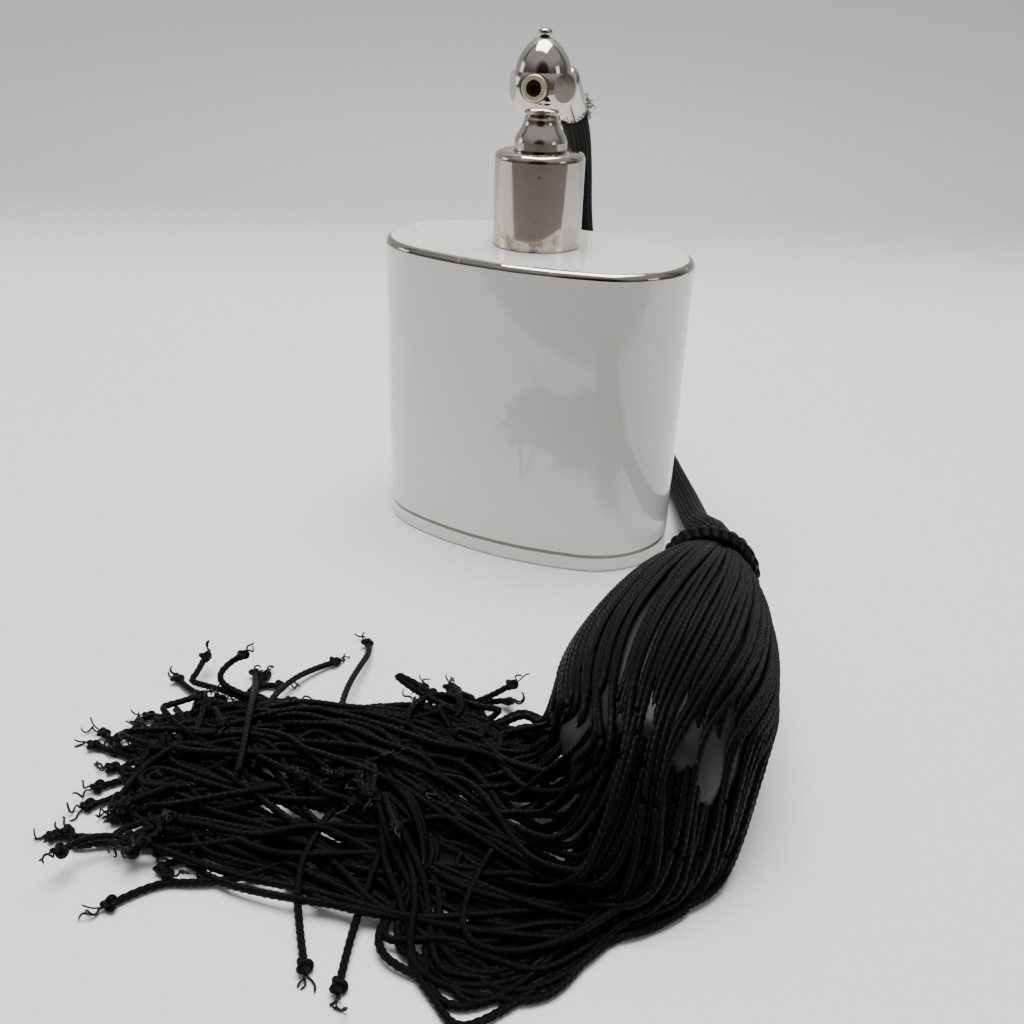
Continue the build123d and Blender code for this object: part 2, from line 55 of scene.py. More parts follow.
# ---- camera -------------------------------------------------------------------------------
# Stands in front and to the right, a little above the head, and looks down on the tassel.
camera_turn, camera_tilt, camera_roll = radians(25.21), radians(26.79), radians(1.99)
camera_place = (0.10514, -0.23201, 0.13018)
camera_back = np.array([sin(camera_turn) * cos(camera_tilt), -cos(camera_turn) * cos(camera_tilt),
                        sin(camera_tilt)])
level = np.array([cos(camera_turn), sin(camera_turn), 0.0])
upward = np.cross(camera_back, level)
camera = bpy.data.objects.new("camera", bpy.data.cameras.new("camera"))
bpy.context.collection.objects.link(camera)
camera.data.lens = 36.1
camera.data.sensor_width = 36.0
placing = np.eye(4)
placing[:3, 0] = cos(camera_roll) * level + sin(camera_roll) * upward
placing[:3, 1] = cos(camera_roll) * upward - sin(camera_roll) * level
placing[:3, 2] = camera_back
placing[:3, 3] = camera_place
camera.matrix_world = Matrix(placing.tolist())
bpy.context.scene.camera = camera


# ---- studio: one sheet of pale board that curves up behind, and soft light ------------------
# The board is the table and the backdrop. Its colour is painted darker up the back, as painted shade on the
# wall, and painted dark beyond the table's near edge, as painted shade in front; the plated parts mirror
# both. A wide lamp hangs above and a little behind.
def surface(name, points, *faces, corner_uv=None):
    """Make a smooth mesh object from points and, for each kind of face, an array of its corners."""
    mesh = bpy.data.meshes.new(name)
    mesh.vertices.add(points.size // 3)
    mesh.vertices.foreach_set("co", points.astype(np.float32).ravel())
    corners = np.concatenate([kind.ravel() for kind in faces]).astype(np.int32)
    sizes = np.concatenate([np.full(len(kind), kind.shape[1]) for kind in faces])
    mesh.loops.add(len(corners))
    mesh.loops.foreach_set("vertex_index", corners)
    mesh.polygons.add(len(sizes))
    mesh.polygons.foreach_set("loop_start", (np.cumsum(sizes) - sizes).astype(np.int32))
    mesh.update(calc_edges=True)
    mesh.polygons.foreach_set("use_smooth", np.ones(len(sizes), bool))
    if corner_uv is not None:
        mesh.uv_layers.new(name="UVMap").data.foreach_set("uv", corner_uv.astype(np.float32).ravel())
    piece = bpy.data.objects.new(name, mesh)
    bpy.context.collection.objects.link(piece)
    return piece


def add_node(tree, kind, settings=None, **values):
    """Add a shader node; a value is a number, a colour or another node's socket."""
    made = tree.nodes.new(kind)
    for key, value in (settings or {}).items():
        setattr(made, key, value)
    for key, value in values.items():
        numbered = key[0] == "i" and key[1:].isdigit()
        socket = made.inputs[int(key[1:]) if numbered else key.replace("_", " ")]
        if isinstance(value, bpy.types.NodeSocket):
            tree.links.new(value, socket)
        else:
            socket.default_value = value
    return made


def new_material(name, **values):
    """Return a new material, its node tree and its Principled shader with plain values set."""
    material = bpy.data.materials.new(name)
    material.use_nodes = True
    shader = material.node_tree.nodes["Principled BSDF"]
    for key, value in values.items():
        shader.inputs[key.replace("_", " ")].default_value = value
    return material, material.node_tree, shader


board_half, board_front, board_bend, bend_radius, board_top = 1.6, -0.9, 0.16, 0.16, 1.2
table_edge, edge_softness = -0.176, 0.012
arc = np.linspace(0, pi / 2, 24)
board_y = np.concatenate([[board_front], board_bend + bend_radius * np.sin(arc), [board_bend + bend_radius]])
board_z = np.concatenate([[0], bend_radius * (1 - np.cos(arc)), [board_top]])
across = np.array([-board_half, board_half])
turn = np.array([[cos(camera_turn), sin(camera_turn)], [-sin(camera_turn), cos(camera_turn)]])
flat = np.stack(np.meshgrid(across, board_y), -1).reshape(-1, 2) @ turn
board_points = np.column_stack([flat, np.repeat(board_z, 2)])
steps = np.arange(len(board_y) - 1)[:, None] * 2
board = surface("studio_board", board_points, steps + np.array([[0, 1, 3, 2]]))
board_material, board_tree, board_shader = new_material("studio board", Roughness=0.55)
board_place = add_node(board_tree, "ShaderNodeTexCoord").outputs["Object"]
# Painted shade: the board's colour darkens as it rises into the wall, for the lesser light a vertical face
# gets.
painted_wall_shade = add_node(board_tree, "ShaderNodeMapRange", {"interpolation_type": "SMOOTHSTEP"},
                      Value=add_node(board_tree, "ShaderNodeSeparateXYZ", Vector=board_place).outputs["Z"],
                      From_Min=0.001, From_Max=0.040)
board_tone = add_node(board_tree, "ShaderNodeMix", {"data_type": "RGBA"}, i0=painted_wall_shade.outputs["Result"],
                      i6=(0.80, 0.80, 0.79, 1), i7=(0.42, 0.425, 0.42, 1))
# Painted shade: beyond the table's near edge the board is coloured dark, for the unlit near field in front.
board_near = add_node(board_tree, "ShaderNodeVectorMath", {"operation": "DOT_PRODUCT"}, i0=board_place,
                      i1=(-sin(camera_turn), cos(camera_turn), 0.0))
painted_near_shade = add_node(board_tree, "ShaderNodeMapRange", {"interpolation_type": "SMOOTHSTEP"},
                      Value=board_near.outputs["Value"], From_Min=table_edge - edge_softness,
                      From_Max=table_edge)
board_whole = add_node(board_tree, "ShaderNodeMix", {"data_type": "RGBA"}, i0=painted_near_shade.outputs["Result"],
                       i6=(0.20, 0.185, 0.175, 1), i7=board_tone.outputs[2])
board_tree.links.new(board_whole.outputs[2], board_shader.inputs["Base Color"])
board.data.materials.append(board_material)


def lamp(name, place, target, size, power):
    """Hang a square soft lamp at a place, facing a target."""
    data = bpy.data.lights.new(name, "AREA")
    data.size, data.energy = size, power
    holder = bpy.data.objects.new(name, data)
    bpy.context.collection.objects.link(holder)
    forward = np.array(target, float) - np.array(place, float)
    forward /= np.linalg.norm(forward)
    side = np.cross(forward, (0.0, 1.0, 0.001))
    side /= np.linalg.norm(side)
    frame_here = np.eye(4)
    frame_here[:3, 0], frame_here[:3, 1], frame_here[:3, 2] = side, np.cross(side, forward), -forward
    frame_here[:3, 3] = place
    holder.matrix_world = Matrix(frame_here.tolist())


lamp("ceiling_lamp", (-0.05, 0.04, 0.98), (0.0, -0.02, 0.0), 0.7, 18.5)
lamp("left_window", (-0.85, -0.20, 0.30), (0.0, 0.0, 0.06), 0.30, 0.5)
lamp("right_window", (0.80, -0.05, 0.35), (0.0, 0.0, 0.06), 0.22, 0.25)

# The room is pale overhead, greyer at eye height, and dark brown where the viewer stands.
world = bpy.data.worlds.new("room")
bpy.context.scene.world = world
world.use_nodes = True
room = world.node_tree
direction = add_node(room, "ShaderNodeTexCoord").outputs["Generated"]
parts_of = add_node(room, "ShaderNodeSeparateXYZ", Vector=direction)
height_ramp = add_node(room, "ShaderNodeValToRGB", Fac=parts_of.outputs["Z"])
room_eye = height_ramp.color_ramp.elements.new(0.28)
room_floor, room_top = height_ramp.color_ramp.elements[0], height_ramp.color_ramp.elements[-1]
room_floor.position, room_floor.color = 0.0, (0.24, 0.225, 0.21, 1)
room_eye.color = (0.30, 0.29, 0.28, 1)
room_top.position, room_top.color = 0.66, (0.95, 0.95, 0.96, 1)
toward = add_node(room, "ShaderNodeVectorMath", {"operation": "DOT_PRODUCT"}, i0=direction,
                  i1=(0.33, -0.90, 0.28))
dark_ramp = add_node(room, "ShaderNodeValToRGB", Fac=toward.outputs["Value"])
room_clear, room_dark = dark_ramp.color_ramp.elements
room_clear.position, room_clear.color = 0.86, (1, 1, 1, 1)
room_dark.position, room_dark.color = 0.95, (0.16, 0.10, 0.08, 1)
room_colour = add_node(room, "ShaderNodeMix", {"data_type": "RGBA", "blend_type": "MULTIPLY"}, i0=1.0,
                       i6=height_ramp.outputs["Color"], i7=dark_ramp.outputs["Color"])
room.links.new(room_colour.outputs[2], room.nodes["Background"].inputs["Color"])
room.nodes["Background"].inputs["Strength"].default_value = 0.5


# ---- bottle -------------------------------------------------------------------------------
# Slip-cast porcelain under a clear glaze, fired again with a band of platinum lustre round
# the shoulder and a thin line of it above the foot. The two lines are painted by hand. The foot
# line's colour is painted darker than the band's, as a painted reflection of the dark room.
def new_group(name, inputs, outputs):
    """Start a shader node group; inputs are name and default pairs, outputs name and kind."""
    group = bpy.data.node_groups.new(name, "ShaderNodeTree")
    for label, value in inputs:
        kind = "NodeSocketVector" if isinstance(value, tuple) else "NodeSocketFloat"
        socket = group.interface.new_socket(label, in_out="INPUT", socket_type=kind)
        if not isinstance(value, tuple):
            socket.default_value = value
    for label, kind in outputs:
        group.interface.new_socket(label, in_out="OUTPUT", socket_type=kind)
    return group, group.nodes.new("NodeGroupInput"), group.nodes.new("NodeGroupOutput")


def place_group(tree, group, **values):
    """Place a node group in a material with its own values."""
    return add_node(tree, "ShaderNodeGroup", {"node_tree": group}, **values)


uneven, uneven_in, uneven_out = new_group(
    "uneven", [("Vector", (0, 0, 0)), ("Scale", 60.0), ("Low", 0.4), ("High", 0.6)],
    [("Mask", "NodeSocketFloat"), ("Height", "NodeSocketFloat")])
uneven_noise = add_node(uneven, "ShaderNodeTexNoise", Vector=uneven_in.outputs["Vector"],
                        Scale=uneven_in.outputs["Scale"], Detail=5.0, Roughness=0.6)
uneven_mask = add_node(uneven, "ShaderNodeMapRange", {"interpolation_type": "SMOOTHSTEP"},
                       Value=uneven_noise.outputs["Fac"], From_Min=uneven_in.outputs["Low"],
                       From_Max=uneven_in.outputs["High"])
uneven.links.new(uneven_mask.outputs["Result"], uneven_out.inputs["Mask"])
uneven.links.new(uneven_noise.outputs["Fac"], uneven_out.inputs["Height"])

shoulder_height = 75.5 * MM
shoulder_round = 1.8 * MM
foot_line_height, foot_line_width = 4.3 * MM, 0.95 * MM
shoulder_band_height, brush_softness, rim_softness = 1.55 * MM, 0.06 * MM, 0.03 * MM
foot_softness = 0.05 * MM
brush_waver = 0.12 * MM


def step_up(tree, value, edge, softness):
    """Return a socket that goes from 0 to 1 as value passes edge."""
    return add_node(tree, "ShaderNodeMapRange", {"interpolation_type": "SMOOTHSTEP"}, Value=value,
                    From_Min=edge - softness, From_Max=edge + softness).outputs["Result"]


def maths(tree, operation, first, second=0.0):
    """Return the socket of one arithmetic node."""
    return add_node(tree, "ShaderNodeMath", {"operation": operation}, i0=first, i1=second).outputs["Value"]


def one_less(tree, value):
    """Return a socket with one minus the value."""
    return maths(tree, "SUBTRACT", 1.0, value)


porcelain, tree, shader = new_material(
    "glazed porcelain", Roughness=0.035, IOR=1.58, Coat_Weight=0.4, Coat_Roughness=0.02,
    Subsurface_Weight=0.06, Subsurface_Radius=(0.004, 0.004, 0.003))
place = add_node(tree, "ShaderNodeTexCoord").outputs["Object"]
waver = place_group(tree, uneven, Vector=place, Scale=180.0, Low=0.0, High=1.0)
sway = maths(tree, "MULTIPLY", maths(tree, "SUBTRACT", waver.outputs["Height"], 0.5), 2 * brush_waver)
height = maths(tree, "ADD", add_node(tree, "ShaderNodeSeparateXYZ", Vector=place).outputs["Z"], sway)
shoulder_band = maths(tree, "MULTIPLY",
                      step_up(tree, height, shoulder_height - shoulder_band_height, brush_softness),
                      one_less(tree, step_up(tree, height, shoulder_height - brush_softness, rim_softness)))
foot_line = maths(
    tree, "MULTIPLY", step_up(tree, height, foot_line_height - foot_line_width / 2, foot_softness),
    one_less(tree, step_up(tree, height, foot_line_height + foot_line_width / 2, foot_softness)))
lustre = maths(tree, "MAXIMUM", shoulder_band, foot_line)
worn = place_group(tree, uneven, Vector=place, Scale=420.0, Low=0.62, High=0.74)
lustre = maths(tree, "MULTIPLY", lustre, one_less(tree, maths(tree, "MULTIPLY", worn.outputs["Mask"], 0.5)))
pits = add_node(tree, "ShaderNodeTexVoronoi", Vector=place, Scale=95.0, Randomness=1.0)
pit = one_less(tree, step_up(tree, pits.outputs["Distance"], 0.022, 0.012))
body_tone = add_node(tree, "ShaderNodeMix", {"data_type": "RGBA"}, i0=pit, i6=(0.80, 0.80, 0.765, 1),
                     i7=(0.30, 0.28, 0.24, 1))
# Painted reflection: the foot line is coloured much darker than the shoulder band, for the dark surroundings
# it mirrors.
platinum_with_painted_dark_foot = add_node(tree, "ShaderNodeMix", {"data_type": "RGBA"}, i0=foot_line, i6=(0.40, 0.37, 0.34, 1),
                    i7=(0.16, 0.145, 0.13, 1))
tone = add_node(tree, "ShaderNodeMix", {"data_type": "RGBA"}, i0=lustre, i6=body_tone.outputs[2],
                i7=platinum_with_painted_dark_foot.outputs[2])
tree.links.new(tone.outputs[2], shader.inputs["Base Color"])
tree.links.new(lustre, shader.inputs["Metallic"])
glaze = place_group(tree, uneven, Vector=place, Scale=28.0, Low=0.0, High=1.0)
glaze_bump = add_node(tree, "ShaderNodeBump", Strength=0.25, Distance=0.0005, Height=glaze.outputs["Height"])
tree.links.new(glaze_bump.outputs["Normal"], shader.inputs["Normal"])


def dress(material, *nodes):
    """Give carried-over CAD parts their material."""
    for node in nodes:
        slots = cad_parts[node].data.materials
        slots.clear()
        slots.append(material)


dress(porcelain, "porcelain_bottle")


# ---- plated brass: collar, pedestal, acorn, finial, air arm and hose ferrule ----------------
# Spun and turned brass, nickel plated and polished. The plate is thin and old: fine wipe marks
# run round it, and brown spots have come through low on the collar.
polish, polish_in, polish_out = new_group(
    "polish", [("Vector", (0, 0, 0)), ("Spots", 0.70)],
    [("Tarnish", "NodeSocketFloat"), ("Roughness", "NodeSocketFloat"), ("Height", "NodeSocketFloat")])
cloudy = place_group(polish, uneven, Vector=polish_in.outputs["Vector"], Scale=120.0, Low=0.35, High=0.75)
spotted = add_node(polish, "ShaderNodeTexNoise", Vector=polish_in.outputs["Vector"], Scale=650.0, Detail=3.0)
spots = add_node(polish, "ShaderNodeMapRange", {"interpolation_type": "SMOOTHSTEP"},
                 Value=spotted.outputs["Fac"], From_Min=polish_in.outputs["Spots"], From_Max=0.80)
polish.links.new(spots.outputs["Result"], polish_out.inputs["Tarnish"])
hazy = add_node(polish, "ShaderNodeMapRange", Value=cloudy.outputs["Mask"], To_Min=0.06, To_Max=0.15)
polish.links.new(
    maths(polish, "ADD", hazy.outputs["Result"], maths(polish, "MULTIPLY", spots.outputs["Result"], 0.3)),
    polish_out.inputs["Roughness"])
polish.links.new(cloudy.outputs["Height"], polish_out.inputs["Height"])

collar_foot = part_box("collar_shell")[0].z
stain_height = 3.5 * MM


def plated(name, colour, tarnish_colour, spots, low_tarnish=0.0, haze=0.0):
    """Polished plate with haze and spots, and a tarnished zone of this strength above the collar's edge."""
    material, tree, shader = new_material(name, Metallic=1.0)
    place = add_node(tree, "ShaderNodeTexCoord").outputs["Object"]
    worn = place_group(tree, polish, Vector=place, Spots=spots)
    stained = place_group(tree, uneven, Vector=place, Scale=260.0, Low=0.50, High=0.66)
    height = add_node(tree, "ShaderNodeSeparateXYZ", Vector=place).outputs["Z"]
    low = one_less(tree, step_up(tree, height, collar_foot + stain_height, stain_height))
    stain = maths(tree, "MULTIPLY", maths(tree, "MULTIPLY", low, stained.outputs["Mask"]), low_tarnish)
    tarnish = maths(tree, "MAXIMUM", worn.outputs["Tarnish"], stain)
    tone = add_node(tree, "ShaderNodeMix", {"data_type": "RGBA"}, i0=tarnish, i6=(*colour, 1),
                    i7=(*tarnish_colour, 1))
    tree.links.new(tone.outputs[2], shader.inputs["Base Color"])
    dull = maths(tree, "ADD", worn.outputs["Roughness"], maths(tree, "MULTIPLY", stain, 0.25))
    tree.links.new(maths(tree, "ADD", dull, haze), shader.inputs["Roughness"])
    bump = add_node(tree, "ShaderNodeBump", Strength=0.06, Distance=0.0002, Height=worn.outputs["Height"])
    tree.links.new(bump.outputs["Normal"], shader.inputs["Normal"])
    return material


nickel = plated("nickel plate", (0.53, 0.485, 0.43), (0.20, 0.13, 0.07), 0.70, low_tarnish=0.8)
brass = plated("bare brass", (0.62, 0.47, 0.22), (0.25, 0.16, 0.07), 0.60)
pale_brass = plated("pale brass", (0.86, 0.76, 0.55), (0.30, 0.22, 0.12), 0.64, haze=0.35)
dark_brass = plated("blackened brass", (0.10, 0.075, 0.05), (0.03, 0.02, 0.015), 0.55)
steel = plated("valve ball steel", (0.60, 0.60, 0.60), (0.30, 0.25, 0.20), 0.74)
dress(nickel, "collar_shell", "pedestal_foot", "acorn_body", "acorn_cap", "finial_button", "air_arm",
      "hose_ferrule")
dress(brass, "neck_thread_sleeve", "head_seat", "siphon_tube", "jet_tube", "hose_barb")
dress(pale_brass, "nozzle_bezel")
dress(dark_brass, "nozzle_tip")
dress(steel, "valve_ball")


# ---- seals, liner and tubes -----------------------------------------------------------------
# Moulded and extruded parts that the collar and the bottle hide, and the hose's rubber tube.
def moulded(name, colour, roughness, transmission=0.0):
    """Moulded or extruded plastic or rubber with faint flow marks and a fine grain."""
    material, tree, shader = new_material(name, Roughness=roughness, Transmission_Weight=transmission)
    place = add_node(tree, "ShaderNodeTexCoord").outputs["Object"]
    marks = place_group(tree, uneven, Vector=place, Scale=90.0, Low=0.3, High=0.7)
    tone = add_node(tree, "ShaderNodeMix", {"data_type": "RGBA"}, i0=marks.outputs["Mask"], i6=(*colour, 1),
                    i7=(*[1.25 * part for part in colour], 1))
    tree.links.new(tone.outputs[2], shader.inputs["Base Color"])
    grain = place_group(tree, uneven, Vector=place, Scale=1400.0, Low=0.3, High=0.7)
    bump = add_node(tree, "ShaderNodeBump", Strength=0.2, Distance=0.0001, Height=grain.outputs["Height"])
    tree.links.new(bump.outputs["Normal"], shader.inputs["Normal"])
    return material


bulb_rubber = moulded("black bulb rubber", (0.0025, 0.0025, 0.0025), 0.55)
dress(moulded("seal rubber", (0.02, 0.02, 0.02), 0.6), "mouth_gasket")
dress(moulded("black plastic", (0.012, 0.012, 0.012), 0.5), "collar_thread_liner", "bulb_neck_fitting",
      "intake_valve_body", "valve_cage")
dress(moulded("clear dip tube", (0.75, 0.77, 0.75), 0.15, transmission=0.85), "dip_tube")
dress(bulb_rubber, "hose_tube")


# ---- hose: thin rubber tube in a ribbed black braid ------------------------------------------
# The braid is pushed up inside the ferrule at the back of the acorn and fixed at the bulb's
# neck. Its cut end has frayed round the ferrule's rim.
def route_points(route, spacing):
    """Points, evenly spaced, on the NURBS line whose control points are the route's."""
    curve = bpy.data.curves.new("line", "CURVE")
    curve.dimensions = "3D"
    spline = curve.splines.new("NURBS")
    spline.points.add(len(route) - 1)
    for point, place in zip(spline.points, route):
        point.co = (*[MM * part for part in place], 1)
    spline.order_u = 3
    spline.use_endpoint_u = True
    spline.resolution_u = 24
    holder = bpy.data.objects.new("line", curve)
    bpy.context.collection.objects.link(holder)
    line = bpy.data.meshes.new_from_object(holder)
    points = np.array([vertex.co[:] for vertex in line.vertices])
    bpy.data.objects.remove(holder)
    bpy.data.meshes.remove(line)
    return spaced(points, spacing)


def travelled(lines):
    """Distance along each line at each of its points: the sum of the steps before it."""
    steps = np.linalg.norm(np.diff(lines, axis=-2), axis=-1)
    return np.concatenate([np.zeros((*steps.shape[:-1], 1)), np.cumsum(steps, axis=-1)], axis=-1)


def spaced(points, spacing):
    """The same line with its points at equal distances along it."""
    along = travelled(points)
    marks = np.linspace(0, along[-1], int(round(along[-1] / spacing)) + 1)
    return np.column_stack([np.interp(marks, along, points[:, axis]) for axis in range(3)])


def unit(vectors):
    """The same vectors at length one."""
    return vectors / np.maximum(np.linalg.norm(vectors, axis=-1, keepdims=True), 1e-12)


def tube_mesh(name, lines, radii, turns):
    """Many tubes as one mesh. On each ring a point is the line's point plus its radius times
    (cos a * side + sin a * up), where a is the point's angle plus the ring's turn, and side and
    up are carried along the line without turning about it."""
    count, rings, sides = radii.shape
    ahead = unit(np.gradient(lines, axis=1))
    side = np.empty_like(lines)
    side[:, 0] = unit(np.cross(ahead[:, 0], (0.11, 0.07, 1.0)))
    for ring in range(1, rings):
        carried = side[:, ring - 1]
        side[:, ring] = unit(carried - (carried * ahead[:, ring]).sum(-1, keepdims=True) * ahead[:, ring])
    up = np.cross(ahead, side)
    angle = (2 * pi * np.arange(sides) / sides + turns[..., None])[..., None]
    points = lines[:, :, None] + radii[..., None] * (np.cos(angle) * side[:, :, None]
                                                     + np.sin(angle) * up[:, :, None])
    index = np.arange(count * rings * sides).reshape(count, rings, sides)
    after = np.roll(index, -1, axis=2)
    quads = np.stack([index[:, :-1], after[:, :-1], after[:, 1:], index[:, 1:]], -1).reshape(-1, 4)
    along = travelled(lines)
    around = np.arange(sides + 1) / sides
    corner_u = np.broadcast_to(np.stack([around[:-1], around[1:], around[1:], around[:-1]], -1),
                               (count, rings - 1, sides, 4))
    corner_v = np.broadcast_to(np.stack([along[:, :-1], along[:, :-1], along[:, 1:], along[:, 1:]], -1)
                               [:, :, None], (count, rings - 1, sides, 4))
    side_uv = np.stack([corner_u, corner_v], -1).reshape(-1, 2)
    cap_uv = np.zeros((2 * count * sides, 2))
    return surface(name, points, quads, index[:, 0, ::-1], index[:, -1],
                   corner_uv=np.concatenate([side_uv, cap_uv]))


def blunt(lines, radius, ease):
    """Radius per ring, drawn in to a rounded tip at both ends over the length ease."""
    along = travelled(lines)
    near = np.minimum(along, along[:, -1:] - along)
    share = np.clip(near / ease, 0, 1)
    return radius * (0.15 + 0.85 * np.sqrt(1 - (1 - share) ** 2))


fibre_floor = 0.3 * MM


def fibres(name, places, aims, per_place, reach, thickness, curl):
    """Frayed ends: curly fibres that leave each place near its aim. A fibre's point at share t
    is place + aim * reach * t + curl * t * (cos, sin of a growing angle) across the aim."""
    count, rings = len(places) * per_place, 14
    share = np.linspace(0, 1, rings)[None, :, None]
    start = np.repeat(places, per_place, 0)[:, None]
    aim = unit(np.repeat(unit(aims), per_place, 0) + rng.normal(0, 0.3, (count, 3)))[:, None]
    flat_side = unit(np.cross(aim, (0.2, 0.1, 1.0)))
    length = reach * rng.uniform(0.5, 1.2, (count, 1, 1))
    swing = rng.uniform(0, 2 * pi, (count, 1, 1)) + share * rng.uniform(3, 11, (count, 1, 1))
    bow = curl * rng.uniform(0.4, 1.3, (count, 1, 1)) * share
    lines = start + aim * length * share + bow * (np.cos(swing) * flat_side
                                                  + np.sin(swing) * np.cross(aim, flat_side))
    lines[..., 2] = np.maximum(lines[..., 2], fibre_floor)
    radii = np.broadcast_to(blunt(lines, thickness, 0.2 * reach)[..., None], (count, rings, 4))
    piece = tube_mesh(name, lines, radii, np.zeros((count, rings)))
    piece.data.materials.append(cord_fibre)
    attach(piece, "head")
    return piece


hose_route = [
    (-3.379, 21.334, 109.68), (-5.622, 35.493, 99.642), (-9.2, 48, 87), (-12, 57, 72), (-13, 65.5, 57),
    (-12.5, 73, 43), (-9, 78.5, 29.5), (-2.4, 79.2, 17.6), (6.6, 73.4, 8.8), (15.5, 63.2, 3.9),
    (23.2, 50.7, 3.6), (31.6, 36.4, 3.7), (40, 21, 5), (47.2, 4, 8.6), (52.4, -9.5, 14.4),
    (59.548, -21.405, 19.6), (61.2, -34.3, 19.6),
]
hose_radius, hose_rib_height, hose_rib_count, hose_sides = 3.40 * MM, 0.13 * MM, 10, 60
hose_exit = np.array((-4.596, 29.020, 104.231)) * MM
hose_line = route_points(hose_route, 0.7 * MM)
hose_angle = 2 * pi * np.arange(hose_sides) / hose_sides
hose_radii = hose_radius + hose_rib_height * np.cos(hose_rib_count * hose_angle)
hose = tube_mesh("braided_hose", hose_line[None],
                 np.broadcast_to(hose_radii, (1, len(hose_line), hose_sides)), np.zeros((1, len(hose_line))))

weave, weave_in, weave_out = new_group(
    "braid weave", [("Around", 0.0), ("Along", 0.0), ("Columns", 10.0), ("Pitch", 0.0012)],
    [("Height", "NodeSocketFloat"), ("Gap", "NodeSocketFloat")])
column = maths(weave, "MULTIPLY", weave_in.outputs["Around"], weave_in.outputs["Columns"])
column_part = maths(weave, "PINGPONG", column, 0.5)
row = maths(weave, "ADD", maths(weave, "DIVIDE", weave_in.outputs["Along"], weave_in.outputs["Pitch"]),
            maths(weave, "MULTIPLY", column_part, 1.6))
ridge = maths(weave, "ABSOLUTE", maths(weave, "SINE", maths(weave, "MULTIPLY", row, pi)))
hump = maths(weave, "SINE", maths(weave, "MULTIPLY", maths(weave, "FRACT", column), pi))
weave.links.new(maths(weave, "MULTIPLY", ridge, maths(weave, "POWER", maths(weave, "ABSOLUTE", hump), 0.5)),
                weave_out.inputs["Height"])
weave.links.new(one_less(weave, maths(weave, "MULTIPLY", ridge, maths(weave, "ABSOLUTE", hump))),
                weave_out.inputs["Gap"])

braid, tree, shader = new_material("black braid", Specular_IOR_Level=0.08)
hose_uv = add_node(tree, "ShaderNodeSeparateXYZ", Vector=add_node(tree, "ShaderNodeTexCoord").outputs["UV"])
woven = place_group(tree, weave, Around=hose_uv.outputs["X"], Along=hose_uv.outputs["Y"], Columns=20.0,
                    Pitch=0.0011)
# Painted shade: the gaps between the braid's yarns are coloured darker than the yarns, for the shade in them.
tone = add_node(tree, "ShaderNodeMix", {"data_type": "RGBA"}, i0=woven.outputs["Gap"],
                i6=(0.004, 0.004, 0.004, 1), i7=(0.001, 0.001, 0.001, 1))
tree.links.new(tone.outputs[2], shader.inputs["Base Color"])
dull = add_node(tree, "ShaderNodeMapRange", Value=woven.outputs["Gap"], To_Min=0.42, To_Max=0.8)
tree.links.new(dull.outputs["Result"], shader.inputs["Roughness"])
bump = add_node(tree, "ShaderNodeBump", Strength=0.9, Distance=0.0003, Height=woven.outputs["Height"])
tree.links.new(bump.outputs["Normal"], shader.inputs["Normal"])
hose.data.materials.append(braid)
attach(hose, "head")
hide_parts("hose_sleeve")

# Twisted rayon cord, used for the bulb's cover and tassel: three plies, glossy along the ply.
cord_fibre, tree, shader = new_material("rayon fibre", Roughness=0.55, Base_Color=(0.004, 0.004, 0.0045, 1),
                                        Specular_IOR_Level=0.3)
twisted_cord, tree, shader = new_material("twisted rayon cord", Specular_IOR_Level=0.10)
cord_pitch, cord_plies, ply_height, thread_pitch = 4.0 * MM, 3, 0.12, 0.5 * MM
cord_uv = add_node(tree, "ShaderNodeSeparateXYZ", Vector=add_node(tree, "ShaderNodeTexCoord").outputs["UV"])
ply_place = maths(tree, "FRACT", maths(tree, "MULTIPLY", cord_uv.outputs["X"], float(cord_plies)))
off_middle = maths(tree, "MULTIPLY", maths(tree, "SUBTRACT", ply_place, 0.5), 2.0)
groove = maths(tree, "POWER", maths(tree, "ABSOLUTE", off_middle), 3.0)
thread = maths(tree, "SINE", maths(tree, "ADD", maths(tree, "MULTIPLY", cord_uv.outputs["X"], 2 * pi * 24),
                                   maths(tree, "MULTIPLY", cord_uv.outputs["Y"], 2 * pi / thread_pitch)))
# Painted shade: the grooves between the plies are coloured darker than the plies, for the shade in them.
tone = add_node(tree, "ShaderNodeMix", {"data_type": "RGBA"}, i0=groove, i6=(0.0019, 0.0019, 0.0022, 1),
                i7=(0.001, 0.001, 0.001, 1))
tree.links.new(tone.outputs[2], shader.inputs["Base Color"])
dull = add_node(tree, "ShaderNodeMapRange", Value=groove, To_Min=0.36, To_Max=0.7)
tree.links.new(dull.outputs["Result"], shader.inputs["Roughness"])
bump = add_node(tree, "ShaderNodeBump", Strength=0.5, Distance=0.00005, Height=thread)
tree.links.new(bump.outputs["Normal"], shader.inputs["Normal"])

hose_aim = unit(hose_line[3] - hose_line[0])
rim_angle = np.linspace(0, 2 * pi, 26, endpoint=False)[:, None]
rim_side = unit(np.cross(hose_aim, (0.0, 0.0, 1.0)))
rim_out = np.cos(rim_angle) * rim_side + np.sin(rim_angle) * np.cross(hose_aim, rim_side)
rim_places = hose_exit + rim_out * (hose_radius + 0.15 * MM)
rim_fray = fibres("hose_end_fray", rim_places, rim_out * 0.9 + hose_aim * 0.7, 9, 2.3 * MM, 0.06 * MM,
                  0.6 * MM)


